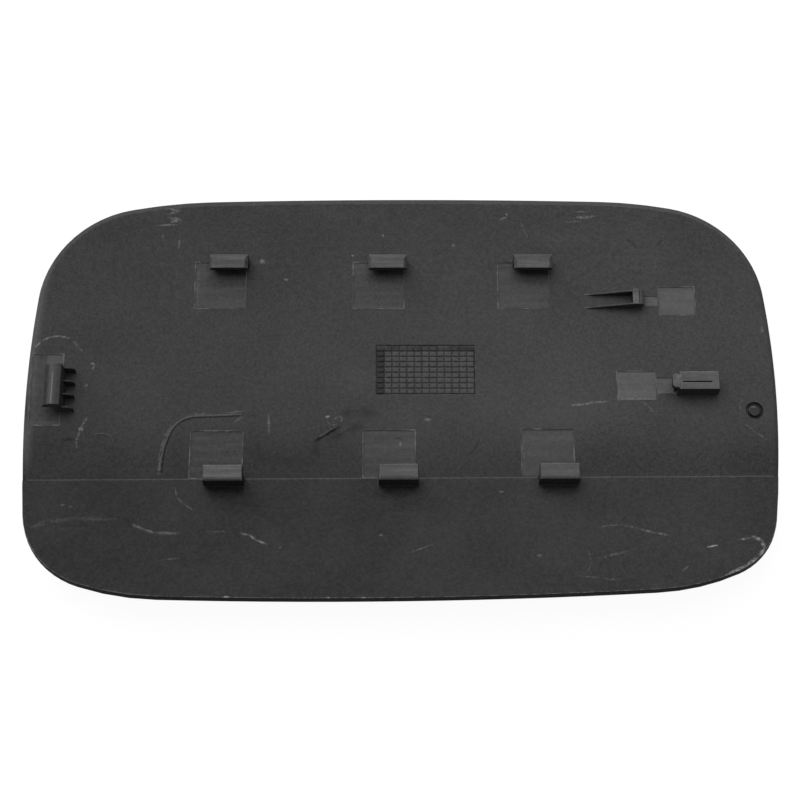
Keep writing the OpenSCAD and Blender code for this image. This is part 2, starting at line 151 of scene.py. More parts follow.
def place_on_face(piece, x, y):
    """Lays a flat piece on the inner face, tilted as the face is there."""
    piece.location = (x * MM, y * MM, face_height(x, y) * MM)
    piece.rotation_euler = (math.asin((y + MIDDLE) / CURVE_R), 0.0, 0.0)
    settle(piece)


# %% Model one burr
def model_burr(name, width, height, seed):
    deselect_all()
    bpy.ops.mesh.primitive_plane_add(size=1.0)
    burr = bpy.context.object
    burr.name = name
    burr.data.name = name
    burr.scale = ((width + BURR_WIDTH) * MM, (height + BURR_WIDTH) * MM, 1.0)
    settle(burr)
    bpy.ops.object.mode_set(mode="EDIT")
    bpy.ops.mesh.select_all(action="SELECT")
    bpy.ops.mesh.inset(thickness=BURR_WIDTH * MM)
    bpy.ops.mesh.delete(type="FACE")
    bpy.ops.mesh.select_all(action="SELECT")
    bpy.ops.mesh.subdivide(number_cuts=3)
    bpy.ops.mesh.subdivide(number_cuts=4)
    bpy.ops.mesh.select_all(action="SELECT")
    bpy.ops.mesh.extrude_region_move(TRANSFORM_OT_translate={"value": (0.0, 0.0, BURR_RISE * MM)})
    bpy.ops.mesh.select_all(action="SELECT")
    bpy.ops.mesh.normals_make_consistent(inside=False)
    bpy.ops.object.mode_set(mode="OBJECT")
    roughen(burr, 0.05, seed)
    return burr


def copy_burr(burr, name, seed):
    twin = burr.copy()
    twin.data = burr.data.copy()
    twin.name = name
    twin.data.name = name
    bpy.context.scene.collection.objects.link(twin)
    roughen(twin, 0.05, seed)
    return twin


# %% Set burrs round all the pads
burrs = []
for row, pads in (("upper", UPPER_PADS), ("lower", LOWER_PADS)):
    x0, x1, y0, y1 = pads[0]
    first = model_burr(f"{row}_burr_1", x1 - x0, y1 - y0, 3)
    twins = [first] + [copy_burr(first, f"{row}_burr_{i + 1}", 7 + i) for i in (1, 2)]
    for twin, (x0, x1, y0, y1) in zip(twins, pads):
        place_on_face(twin, (x0 + x1) / 2, (y0 + y1) / 2)
    burrs += twins
for name, (x0, x1, y0, y1) in (("fork_burr", FORK_PAD), ("block_burr", BLOCK_PAD), ("left_burr", LEFT_PAD)):
    single = model_burr(name, x1 - x0, y1 - y0, 11)
    place_on_face(single, (x0 + x1) / 2, (y0 + y1) / 2)
    burrs.append(single)
print(len(burrs), "burrs")

# %% [markdown]
# ## Flow lines
# Where two fronts of molten plastic met, a low ridge runs over the face. It is a tapering tube that lies almost
# wholly inside the wall, so only its cap shows, one or two tenths of a millimetre high. Its width swells and thins
# along the way, as the ripples on the real one do, more at one end than at the other.


# %% Model a ridge along a path
RIDGE_STEP = 0.22


def trace_ridge(name, points, radius, rise, ripples):
    """A half-sunk tube along places on the face, thin at both ends."""
    steps = []
    for (xa, ya), (xb, yb) in zip(points, points[1:]):
        count = max(int(math.hypot(xb - xa, yb - ya) / RIDGE_STEP), 1)
        steps += [(xa + (xb - xa) * i / count, ya + (yb - ya) * i / count) for i in range(count)]
    steps.append(points[-1])
    # Rounds the corners between the given places
    for _ in range(30):
        middle = [tuple((a + 2 * b + c) / 4 for a, b, c in zip(*three)) for three in zip(steps, steps[1:], steps[2:])]
        steps = [steps[0]] + middle + [steps[-1]]
    curve = bpy.data.curves.new(name, "CURVE")
    curve.dimensions = "3D"
    curve.bevel_depth = radius * MM
    curve.bevel_resolution = 5
    line = curve.splines.new("POLY")
    line.points.add(len(steps) - 1)
    first_ripple, last_ripple = ripples
    for i, (x, y) in enumerate(steps):
        depth = radius - rise
        end = min(i, len(steps) - 1 - i) * RIDGE_STEP / 2.5
        line.points[i].co = (x * MM, y * MM, (face_height(x, y) - depth) * MM, 1.0)
        run = i * RIDGE_STEP
        ripple = first_ripple + (last_ripple - first_ripple) * i / (len(steps) - 1)
        swell = 1.0 + ripple * math.sin(run * 5.2 + 2.2 * math.sin(run * 0.9)) * (0.7 + 0.3 * math.sin(run * 1.7))
        line.points[i].radius = (depth + rise * min(end, 1.0) * swell) / radius
    ridge = bpy.data.objects.new(name, curve)
    bpy.context.scene.collection.objects.link(ridge)
    make_active(ridge)
    bpy.ops.object.convert(target="MESH")
    ridge = bpy.context.object
    bpy.ops.object.shade_smooth()
    return ridge


# %% Trace the flow lines
FLOW_LINE = [
    (-62.6, -23.2), (-62.9, -20.0), (-62.6, -17.0), (-62.0, -14.0), (-61.2, -11.2), (-60.0, -8.8),
    (-58.0, -6.9), (-55.5, -6.0), (-52.0, -5.8), (-48.0, -5.7), (-44.0, -5.5), (-41.0, -5.4),
]
SHORT_FLOW_LINE = [(-82.4, -11.9), (-80.6, -10.9), (-78.4, -10.6), (-76.4, -11.2), (-75.3, -12.7), (-75.0, -15.2)]
STRIP_FLOW_LINE = [
    (-94.6, -37.6), (-92.0, -35.9), (-89.0, -35.1), (-84.0, -34.8), (-78.0, -34.4), (-72.5, -34.8),
    (-69.0, -36.4), (-65.5, -37.9), (-62.5, -38.9), (-56.5, -38.9),
]
flow_ridge = trace_ridge("flow_ridge", FLOW_LINE, 0.85, 0.16, (0.4, 0.1))
short_flow_ridge = trace_ridge("short_flow_ridge", SHORT_FLOW_LINE, 0.9, 0.09, (0.3, 0.1))
strip_flow_ridge = trace_ridge("strip_flow_ridge", STRIP_FLOW_LINE, 0.9, 0.08, (0.1, 0.6))
ridges = [flow_ridge, short_flow_ridge, strip_flow_ridge]

# %% Trace the creases left of the middle
WRINKLES = [
    ([(-23.2, -12.8), (-20.8, -11.3), (-18.4, -9.8), (-16.0, -8.2)], 0.16),
    ([(-19.8, -12.1), (-16.9, -11.2), (-14.2, -9.3), (-10.8, -7.4)], 0.06),
    ([(-16.8, -5.6), (-14.0, -4.0), (-11.6, -3.9), (-7.8, -5.1)], 0.06),
]
for i, (points, rise) in enumerate(WRINKLES):
    ridges.append(trace_ridge(f"wrinkle_{i + 1}", points, 0.9, rise, (0.5, 0.5)))
for piece in burrs + ridges:
    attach(piece, "root")
print("ridges have", [len(ridge.data.polygons) for ridge in ridges], "faces")

# %% [markdown]
# ## Shader maths in plain expressions
# A material is a graph of nodes. One small class wraps a node's output, so that masks can be added and multiplied
# like numbers, and one method adds any other node.


# %% A socket that can be added and multiplied
class Wire:
    """An output socket in a node tree, with arithmetic that adds Math nodes."""

    def __init__(self, tree, socket=None):
        self.tree = tree
        self.socket = socket

    def node(self, kind, settings=None, inputs=None, output=0):
        """Adds a node, makes its settings, fills its sockets, and returns one of its outputs."""
        made = self.tree.nodes.new(kind)
        for name, value in (settings or {}).items():
            setattr(made, name, value)
        for name, value in (inputs or {}).items():
            if isinstance(value, Wire):
                self.tree.links.new(value.socket, made.inputs[name])
            else:
                made.inputs[name].default_value = value
        return Wire(self.tree, made.outputs[output] if made.outputs else None)

    def maths(self, operation, *values):
        operands = dict(enumerate((self, *values)))
        return self.node("ShaderNodeMath", {"operation": operation}, operands)

    def __add__(self, other):
        return self.maths("ADD", other)

    __radd__ = __add__

    def __mul__(self, other):
        return self.maths("MULTIPLY", other)

    __rmul__ = __mul__

    def __sub__(self, other):
        return self.maths("SUBTRACT", other)

    def __rsub__(self, other):
        return self * -1.0 + other

    def __abs__(self):
        return self.maths("ABSOLUTE")

    def most(self, other):
        return self.maths("MAXIMUM", other)

    def ramp(self, start, end, before=0.0, after=1.0):
        """Goes smoothly from one value to another between two thresholds."""
        inputs = {"Value": self, "From Min": start, "From Max": end, "To Min": before, "To Max": after}
        return self.node("ShaderNodeMapRange", {"interpolation_type": "SMOOTHSTEP"}, inputs)


def start_material(name):
    """An empty material and a wire to build it with."""
    material = bpy.data.materials.new(name)
    material.use_nodes = True
    material.node_tree.nodes.clear()
    return material, Wire(material.node_tree)


# %% [markdown]
# ## Where on the flap a point is
# Every mask starts from the point's own place on the flap, in millimetres. Its height over the inner face tells the
# raised tops, the sunk pads and the engraved lines apart, and its normal tells the inner side from the outer skin.

# %% Start the plastic's material
plastic, graph = start_material("moulded_plastic")
texture_place = graph.node("ShaderNodeTexCoord", output=3)
place = graph.node("ShaderNodeVectorMath", {"operation": "SCALE"}, {0: texture_place, "Scale": 1000.0})
facing = graph.node("ShaderNodeSeparateXYZ", {}, {0: graph.node("ShaderNodeTexCoord", output=1)}, output=2)
x_mm = graph.node("ShaderNodeSeparateXYZ", {}, {0: place}, output=0)
y_mm = graph.node("ShaderNodeSeparateXYZ", {}, {0: place}, output=1)
z_mm = graph.node("ShaderNodeSeparateXYZ", {}, {0: place}, output=2)

from_middle = y_mm - x_mm * CREASE_TURN + MIDDLE
from_crease = from_middle - (CREASE_Y + MIDDLE)
height = z_mm - WALL - from_middle * from_middle * (0.5 / CURVE_R)
inner = facing.ramp(0.05, 0.3)
above_crease = from_crease.ramp(-0.05, 0.05)
walls = abs(facing).ramp(0.35, 0.2)

# %% [markdown]
# ## Grain, clouds and the black plastic
# The plastic is a fine-grained matte black. Three noises give it grain, small specks and the soft clouds that
# handling and demoulding leave. The upright walls are rougher and duller, and their colour is darkened as painted
# shade, so that they look deeper black.


# %% Noise helper and the grain
def noise(scale, detail=3.0, roughness=0.6, stretch=(1.0, 1.0, 1.0)):
    """A cloud of values round a half; scale counts the clouds in 10 mm."""
    stretched = graph.node("ShaderNodeMapping", {"vector_type": "POINT"}, {"Vector": place, "Scale": stretch})
    inputs = {"Vector": stretched, "Scale": scale / 10.0, "Detail": detail, "Roughness": roughness}
    return graph.node("ShaderNodeTexNoise", {}, inputs)


grain = noise(15.0, 1.0, 0.6)
specks = noise(7.0, 3.0, 0.7)
clouds = noise(0.35, 4.0, 0.6)
streaks = noise(3.0, 4.0, 0.65, (0.12, 1.6, 1.0))

# %% [markdown]
# ## Scuffs, scratches, smudges and painted light
# Each mark is a soft-edged ellipse laid over the face, and a curved line is a chain of them. Most are marks of use,
# as a finger or a key would leave them; some pale ones are painted highlights on the flow lines and the gate, and
# some dark ones are painted shade along the creases. A Mapping node turns the place into the ellipse's own space,
# where its edge is at 1.


# %% Lay ellipses along a line
def blot(x, y, half_length, half_width, angle, strength):
    """One soft ellipse: its middle, half sizes, turn in degrees and strength."""
    settings = {"vector_type": "TEXTURE"}
    inputs = {
        "Vector": place,
        "Location": (x, y, 0.0),
        "Rotation": (0.0, 0.0, math.radians(angle)),
        "Scale": (half_length, half_width, 1.0e4),
    }
    local = graph.node("ShaderNodeMapping", settings, inputs)
    ball = graph.node("ShaderNodeTexGradient", {"gradient_type": "SPHERICAL"}, {"Vector": local}, output=1)
    return ball if strength == 1.0 else ball * strength


def together(masks):
    """The strongest of several masks."""
    result = masks[0]
    for mask in masks[1:]:
        result = result.most(mask)
    return result


def stroke(points, width, strength):
    """A chain of ellipses along a line of places."""
    masks = []
    for (xa, ya), (xb, yb) in zip(points, points[1:]):
        half = math.hypot(xb - xa, yb - ya) / 2
        angle = math.degrees(math.atan2(yb - ya, xb - xa))
        masks.append(blot((xa + xb) / 2, (ya + yb) / 2, half * 1.35, width / 2, angle, 1.0))
    return together(masks) * strength


# %% The pale marks and painted highlights
pale_marks_and_highlights = together([
    stroke([(-98.0, 13.6), (-96.3, 15.4), (-94.0, 16.6), (-91.5, 16.8), (-88.9, 16.2)], 0.7, 1.5),
    stroke([(-87.8, 15.4), (-86.4, 13.6), (-84.6, 11.8)], 0.7, 0.6),
    stroke([(-82.9, 8.9), (-82.0, 9.1), (-81.7, 8.3), (-82.3, 7.4)], 0.6, 1.6),
    stroke([(-83.1, -6.2), (-84.4, -9.3), (-85.3, -12.5), (-85.2, -14.5)], 0.8, 0.8),
    blot(-84.4, -9.4, 0.8, 0.7, 20, 2.6),
    blot(-83.2, -6.8, 0.5, 0.5, 0, 1.4),
    blot(-85.2, -12.0, 0.5, 0.4, 0, 1.3),
    blot(-83.6, 2.9, 0.8, 0.5, 0, 1.0),
    stroke([(-64.4, 54.0), (-60.4, 53.2), (-64.0, 52.3)], 0.9, 1.0),
    stroke([(-63.8, 51.2), (-60.4, 50.6), (-63.2, 49.8)], 1.2, 1.0),
    stroke([(-66.4, 48.9), (-61.6, 49.2)], 0.8, 0.9),
    stroke([(-65.2, 46.6), (-65.0, 44.4)], 0.7, 0.6),
    stroke([(-60.5, 44.9), (-60.6, 42.2)], 0.7, 1.1),
    blot(-37.7, 38.4, 1.0, 0.9, 0, 1.3),
    blot(-31.2, 33.0, 0.8, 0.4, 0, 1.2),
    blot(-13.2, 40.0, 0.5, 0.4, 0, 1.4),
    blot(-5.0, 45.9, 0.4, 0.6, 0, 1.3),
    blot(14.3, 43.0, 0.7, 0.6, 0, 1.1),
    stroke([(27.0, 50.6), (29.4, 51.6), (28.6, 52.6)], 0.8, 0.9),
    stroke([(32.8, 50.8), (33.2, 48.2), (34.6, 45.4)], 0.6, 0.5),
    stroke([(47.8, 52.9), (51.2, 53.0)], 0.5, 0.9),
    stroke([(48.0, 51.2), (52.8, 51.6)], 1.2, 1.1),
    stroke([(45.0, 50.0), (50.2, 50.2)], 0.5, 0.6),
    stroke([(45.0, -2.8), (48.6, -2.5), (51.0, -1.9), (54.6, -1.7)], 0.8, 1.2),
    stroke([(63.6, -1.7), (65.4, -2.9), (67.0, -4.8)], 0.6, 0.6),
    stroke([(90.8, -8.0), (93.4, -10.3), (96.4, -12.2)], 0.5, 0.7),
    stroke([(90.6, -0.9), (89.6, -2.4), (89.8, -4.0)], 0.7, 0.5),
    blot(97.0, 18.6, 0.5, 1.4, 0, 0.9),
    stroke([(-35.0, -5.8), (-34.8, -10.6)], 0.9, 0.9),
    blot(-19.4, -5.9, 0.8, 0.6, 0, 2.0),
    stroke([(-17.8, -7.0), (-16.8, -5.7), (-15.4, -6.2), (-16.0, -7.6)], 0.7, 0.6),
    blot(-0.2, -13.5, 0.4, 0.9, 0, 1.0),
    blot(7.0, -6.7, 1.2, 0.6, 0, 0.9),
    # Painted highlight: the pale crescent on the upper left of the sprue stub at the gate.
    stroke([(92.0, -4.2), (92.4, -3.4), (93.8, -3.2)], 0.9, 1.0),
    blot(73.0, 3.5, 1.0, 0.9, 0, 0.7),
    stroke([(57.7, -1.2), (57.7, 6.7)], 0.9, 0.5),
    stroke([(57.6, -1.0), (67.7, -1.0)], 0.9, 0.7),
    stroke([(-55.3, 25.0), (-55.0, 37.8)], 1.6, 0.3),
    stroke([(32.0, -22.4), (32.0, -9.6)], 1.4, 0.25),
    # Painted highlight: the next four strokes lie along the long flow line, where its side catches the light.
    stroke([(-63.4, -22.4), (-63.2, -16.0), (-62.2, -11.6), (-60.6, -8.6)], 1.0, 0.6),
    stroke([(-56.0, -5.4), (-51.0, -5.0)], 0.7, 0.5),
    stroke([(-46.0, -4.8), (-41.6, -4.4)], 0.9, 0.6),
    stroke([(-44.2, -7.6), (-42.0, -6.0)], 0.8, 0.5),
    stroke([(-19.6, -7.0), (-18.6, -8.4), (-16.8, -8.0)], 0.6, 0.4),
])

# %% The pale marks and painted highlight on the strip
strip_marks_and_highlight = together([
    # Painted highlight: the first two strokes lie along the strip's flow line, where it catches the light.
    stroke([(-68.8, -36.5), (-65.6, -37.9), (-62.6, -38.9), (-56.6, -38.9)], 1.1, 0.9),
    stroke([(-94.6, -37.4), (-91.0, -35.6), (-84.0, -34.7), (-72.5, -34.8)], 1.6, 0.26),
    stroke([(-97.4, -38.0), (-95.6, -41.0), (-92.6, -44.6)], 0.7, 0.5),
    stroke([(-49.5, -38.4), (-44.0, -38.5)], 0.5, 0.5),
    stroke([(-41.2, -38.9), (-38.8, -39.4), (-36.8, -40.9), (-34.2, -42.1)], 0.9, 1.4),
    blot(-30.6, -43.0, 0.6, 0.5, 0, 0.6),
    blot(-87.3, -30.8, 0.8, 0.4, 0, 0.8),
    blot(-85.2, -31.2, 0.6, 0.4, 0, 0.7),
    stroke([(-58.7, -25.8), (-58.0, -28.6), (-56.4, -30.3), (-53.6, -32.2)], 0.5, 0.6),
    stroke([(-61.0, -46.6), (-56.0, -46.0)], 0.6, 0.5),
    stroke([(2.0, -44.6), (8.4, -42.0)], 0.6, 0.6),
    blot(-5.2, -39.5, 0.7, 0.4, 0, 0.9),
    blot(26.0, -26.9, 0.8, 0.4, 0, 0.8),
    blot(35.0, -45.3, 0.8, 0.4, 0, 0.9),
    stroke([(50.4, -37.1), (56.0, -36.5), (61.5, -37.7)], 0.8, 0.45),
    stroke([(61.0, -37.8), (64.8, -38.9), (68.0, -39.5)], 0.9, 0.9),
    stroke([(49.8, -46.1), (57.4, -44.0)], 1.0, 0.5),
    stroke([(46.6, -50.6), (48.0, -47.0), (47.4, -43.8)], 0.6, 0.3),
    stroke([(44.5, -51.0), (50.0, -51.6), (54.6, -52.2)], 0.8, 0.4),
    stroke([(70.4, -49.8), (72.4, -48.2)], 0.5, 0.7),
    stroke([(77.7, -42.9), (80.4, -42.4)], 0.7, 3.0),
    stroke([(85.6, -41.0), (88.8, -40.2)], 0.8, 1.6),
    stroke([(89.4, -39.9), (91.7, -41.0), (92.0, -43.2), (90.4, -45.6), (86.8, -48.2), (81.5, -50.9)], 1.3, 2.2),
])

# %% Chips along the bottom edge
edge_chips = together([
    blot(x, y, size, 0.5, 2.0, 2.2)
    for x, y, size in (
        (-43.4, -56.8, 1.0), (-18.0, -57.1, 0.6), (-9.4, -57.2, 1.0), (-5.0, -57.2, 0.6),
        (-1.0, -57.2, 1.2), (13.0, -57.1, 0.7), (30.0, -56.8, 0.9), (44.6, -56.3, 0.8),
    )
])
strip_marks_and_highlight = strip_marks_and_highlight.most(edge_chips)

# %% The dark marks and painted shade along the creases
dark_marks_and_crease_shade = together([
    stroke([(-89.4, -12.6), (-86.0, -12.0)], 1.3, 1.2),
    # Painted shade: the next three strokes lie along the creases left of the middle.
    stroke([(-23.0, -12.9), (-20.6, -11.4), (-15.9, -8.6)], 1.6, 1.5),
    stroke([(-19.6, -12.6), (-14.4, -10.0), (-9.6, -8.0)], 3.4, 0.6),
    stroke([(-16.0, -5.5), (-12.2, -4.2), (-6.0, -5.4)], 4.4, 0.6),
    stroke([(-22.8, -12.8), (-22.2, -17.4)], 3.4, 0.6),
    stroke([(-40.5, -14.6), (-34.0, -18.0), (-22.0, -18.2)], 4.4, 0.4),
    stroke([(-37.4, -13.0), (-37.6, -17.6)], 1.4, 0.5),
    stroke([(-40.8, -5.6), (-37.6, -5.8)], 1.4, 0.5),
    blot(-0.8, -11.9, 1.2, 0.4, 0, 0.9),
    stroke([(5.2, -5.4), (8.4, -6.2)], 0.6, 0.6),
    stroke([(20.2, -13.2), (19.2, -15.2), (17.2, -16.6)], 0.9, 0.7),
    stroke([(61.4, 44.6), (63.0, 44.2), (64.2, 42.2)], 1.0, 0.8),
    stroke([(71.2, 45.0), (70.2, 43.2)], 1.2, 0.7),
    stroke([(-46.2, -56.4), (-41.6, -56.2)], 0.5, 0.6),
])

# %% Broad paler and darker patches, among them painted light and painted shadow
# Paler patches; the large ones at the right are painted light that makes that side of the face lighter.
broad_pale_and_lit_patches = together([
    blot(30.0, 2.0, 46.0, 26.0, 10, 0.55),
    blot(40.0, 45.2, 14.0, 3.6, -4, 1.1),
    blot(-14.0, 6.0, 12.0, 9.0, 0, 0.4),
    blot(-66.0, 26.0, 22.0, 12.0, 0, 0.35),
    blot(60.0, -36.0, 44.0, 18.0, 0, 0.35),
    blot(42.0, -4.0, 26.0, 13.0, 8, 0.9),
    blot(67.0, 20.0, 16.0, 10.0, 0, 0.9),
    blot(-76.0, 27.0, 20.0, 14.0, 0, 0.8),
    blot(-10.0, 4.0, 11.0, 7.0, 0, 1.0),
    blot(-18.0, -46.0, 12.0, 11.0, 0, 0.8),
    blot(-18.0, 53.0, 12.0, 6.0, 0, 0.8),
    blot(-50.0, -7.0, 16.0, 5.0, 0, 0.5),
])
# Darker patches; the last is a painted shadow under the block's nose, the one before it painted shade beside the long
# flow line.
shadows_and_dark_patches = together([
    blot(15.0, -8.0, 12.0, 9.0, 0, 1.0),
    blot(93.0, -15.0, 9.0, 9.0, 0, 1.0),
    blot(-93.0, -14.0, 9.0, 7.0, 20, 1.6),
    blot(-97.0, -26.0, 8.0, 12.0, 0, 1.0),
    blot(-30.0, 26.0, 16.0, 14.0, 0, 0.4),
    blot(-70.0, 48.0, 30.0, 6.0, 12, 0.6),
    blot(-58.5, -18.0, 4.0, 9.0, 0, 0.9),
    blot(70.6, 0.8, 2.8, 3.6, 0, 2.0),
])
broken = grain.ramp(0.35, 0.55, 0.3, 1.2)
scuffs_and_highlights = pale_marks_and_highlights.most(strip_marks_and_highlight) * broken * inner
smudges_and_crease_shade = dark_marks_and_crease_shade * grain.ramp(0.3, 0.7, 0.7, 1.2) * inner

# %% [markdown]
# ## Pads, tops, lines and edges
# The pads took the finish of the sliding blocks and are paler, most of all at the right catches. The tops of the
# hooks are paler, partly scuffs and partly painted light on the faces that look up, and the catch's facets and
# ridge are painted lit and shaded. The engraved column lines and the ring round the gate are darkened as painted
# shade. The edges are paler, partly wear and partly painted highlight where a rounded edge catches the light, and
# the left rim carries a painted highlight. The Bevel node rounds the normals near an edge, so where it disagrees
# with the plain normal there is an edge.

# %% Masks from height and place
pad = height.ramp(-0.06, -0.12) * height.ramp(-0.22, -0.18) * above_crease * inner
right_pads = x_mm.ramp(52.0, 54.0)
left_pad = x_mm.ramp(-88.0, -89.0)
raised = height.ramp(3.2, 3.5) * from_crease.ramp(-3.4, -3.2)
right_of_catch = x_mm.ramp(-84.0, -83.0)
tops = raised * facing.ramp(0.3, 0.6) * right_of_catch
catch_ridge_highlight = height.ramp(6.68, 6.8) * (1.0 - right_of_catch) * y_mm.ramp(5.0, 3.0) * y_mm.ramp(-8.0, -7.0)
rim = facing.ramp(0.12, 0.3) * facing.ramp(0.93, 0.85) * height.ramp(0.1, 0.0) * above_crease
below_crease = 1.0 - above_crease
crease_line = abs(from_crease).ramp(0.4, 0.0) * inner


def box_mask(x0, x1, y0, y1):
    """Full inside a rectangle on the face."""
    across = abs(x_mm - (x0 + x1) / 2).ramp((x1 - x0) / 2, (x1 - x0) / 2 - 0.15)
    along = abs(y_mm - (y0 + y1) / 2).ramp((y1 - y0) / 2, (y1 - y0) / 2 - 0.15)
    return across * along


from_gate = graph.node("ShaderNodeVectorMath", {"operation": "DISTANCE"}, {0: place, 1: (93.5, -4.22, 2.6)}, output=1)
grid_or_gate = box_mask(-7.2, 20.2, -0.2, 14.7).most(from_gate.ramp(3.2, 3.0))
gate = from_gate.ramp(2.6, 2.5)
# Painted shade: the grid's column lines and the ring round the gate are darkened, the ring more on its right.
column_line = (x_mm - -4.42).maths("PINGPONG", 1.0).ramp(0.26, 0.12) * box_mask(-5.0, 20.2, -0.2, 13.0)
engraved = height.ramp(-0.2, -0.24) * grid_or_gate * inner * (gate * x_mm.ramp(91.5, 95.5, 0.3, 0.6)).most(column_line * 0.42)
sprue_stub = from_gate.ramp(1.7, 1.2)
grid_cells = box_mask(-4.5, 19.4, 0.3, 12.6) * inner
gussets = box_mask(-89.6, -82.8, -6.2, 8.0) * height.ramp(0.3, 0.5)
low_relief = height.ramp(0.02, 0.06) * height.ramp(0.5, 0.4) * above_crease * inner
head_cells = box_mask(-6.7, -4.5, 0.3, 13.0).most(box_mask(-6.7, 19.4, 12.6, 13.9) * specks.ramp(0.35, 0.6, 0.9, 0.3))
head_cells = head_cells.most(box_mask(14.6, 19.4, 12.6, 13.9)) * inner
catch_patch = box_mask(-94.6, -90.1, 9.0, 11.7)

rounded = graph.node("ShaderNodeBevel", {"samples": 6}, {"Radius": 0.4 * MM})
plain = graph.node("ShaderNodeNewGeometry", output=1)
agreement = graph.node("ShaderNodeVectorMath", {"operation": "DOT_PRODUCT"}, {0: rounded, 1: plain}, output=1)
edge = agreement.ramp(1.0, 0.90) * (1.0 - gussets) * abs(from_crease).ramp(0.5, 0.8)
strip_rim_wear_and_highlight = agreement.ramp(1.0, 0.97) * from_crease.ramp(-9.0, -14.0) * inner
plain_x = graph.node("ShaderNodeSeparateXYZ", {}, {0: plain}, output=0)
plain_y = graph.node("ShaderNodeSeparateXYZ", {}, {0: plain}, output=1)
lit_side = (plain_y - plain_x).ramp(-0.4, 0.4, -0.4, 1.0)
# Painted highlight: a pale band inside the left rim above the crease, where the rim catches the light from the left.
left_rim_highlight = graph.node("ShaderNodeVectorMath", {"operation": "DISTANCE"}, {0: place, 1: (185.2, -1.6, 3.0)}, output=1)
left_rim_highlight = left_rim_highlight.ramp(281.5, 284.8) * y_mm.ramp(-24.0, -14.0) * (1.0 - blot(-99.0, -4.0, 6.0, 6.0, 0, 1.0)) * inner

# %% Put the plastic's colour together
# Painted light and shade: the base tone is paler to the right and darker on the strip below the crease, where the face
# catches less of the lamp's sheen; it is also darker towards the top.
tone = x_mm.ramp(-105.0, 85.0, 0.032, 0.049) * from_crease.ramp(2.0, 19.0, 0.59, 1.0)
tone = tone * y_mm.ramp(18.0, 58.0, 1.0, 0.84)
# Adds the random clouds and the broad paler patches with their painted light, and takes off the darker patches with
# their painted shadow.
tone = tone + clouds.ramp(0.3, 0.7, -0.005, 0.005) + broad_pale_and_lit_patches * 0.007 - shadows_and_dark_patches * inner * 0.006
speckle = specks.ramp(0.3, 0.7, -0.006, 0.006) + grain.ramp(0.3, 0.7, -0.0065, 0.0065)
tone = tone + speckle * from_crease.ramp(-2.0, 2.0, 0.68, 0.88) * x_mm.ramp(20.0, 60.0, 1.0, 1.15)
lower_pads = from_crease.ramp(19.0, 2.0) * x_mm.ramp(-42.0, -8.0, 0.002, 0.011)
tone = tone + pad * (0.013 + right_pads * 0.033 + lower_pads + streaks.ramp(0.35, 0.7, -0.006, 0.012))
tone = tone + pad * left_pad * catch_patch * 0.03 + left_rim_highlight * 0.045
# Painted light and shade: the catch's left facet is darker and its right facet paler, and its ridge carries a painted
# highlight line.
catch = height.ramp(0.5, 0.7) * (1.0 - right_of_catch) * above_crease
tone = tone + catch_ridge_highlight * 0.1 + catch * x_mm.ramp(-93.2, -91.8, -0.01, 0.042) * x_mm.ramp(-89.8, -91.2, 0.3, 1.0)
# Painted light: hook tops that look up are paler, the lower hooks' more and less so where they reach below the crease;
# the streaks on them are scuffs and their edges get a painted highlight.
lower_tops = from_crease.ramp(12.0, 8.0) * (1.0 - from_crease.ramp(-0.9, -1.3) * 1.4)
tone = tone + tops * facing.ramp(0.8, 0.97, 0.3, 1.0) * (0.05 + lower_tops * 0.022 + streaks.ramp(0.35, 0.7, -0.022, 0.03) + edge * 0.03)
# Painted shade: the bevel round the rim above the crease is a little darker.
tone = tone - rim * 0.01
# Pale edges: specks of wear, and along the strip a steady painted highlight where its rounded edge catches the light.
edge_wear_and_highlight = edge * inner * (specks.ramp(0.4, 0.65, 0.01, 0.05) + below_crease * 0.03)
# Painted highlight: a broken pale line along the crease, and on the low ridges a painted highlight on the side towards
# the back left with painted shade on the other side.
tone = tone + crease_line * specks.ramp(0.4, 0.6, 0.0, 0.006) + edge_wear_and_highlight + low_relief * lit_side * 0.04
# Darkens the smudges and the painted shade along the creases, the engraved column lines and the gate's ring as painted
# shade, the head cells, the gussets a little, and the sprue stub.
tone = tone * (1.0 - smudges_and_crease_shade * 0.85) * (1.0 - engraved) * (1.0 - head_cells * 0.5) * (1.0 - gussets * 0.1) * (1.0 - sprue_stub * 0.35)
# Adds the scuffs with their painted highlights, the grid's cells made paler as painted light, and pale specks on the
# bottom rim, partly wear and partly painted highlight.
tone = tone + scuffs_and_highlights * 0.1 + grid_cells * 0.017 + strip_rim_wear_and_highlight * specks.ramp(0.4, 0.6, 0.02, 0.09)
# Painted shade: the upright walls are darkened.
tone = tone * (1.0 - walls * 0.35)

# %% Give the outer skin its own, plainer colour
skin = facing.ramp(-0.2, -0.5)
wiping = noise(2.0, 3.0, 0.6, (0.1, 2.0, 1.0))
skin_tone = 0.028 + clouds.ramp(0.3, 0.7, -0.004, 0.004) + wiping.ramp(0.56, 0.72, 0.0, 0.014)
tone = tone * (1.0 - skin) + skin_tone * skin
colour = graph.node("ShaderNodeCombineColor", {}, {0: tone, 1: tone * 1.005, 2: tone * 1.03})

# %% [markdown]
# ## Roughness and relief
# The scuffs and walls are rougher, and the outer skin is smoother, because that side is made to be seen. The grain is
# too fine to model, so a Bump node gives it.

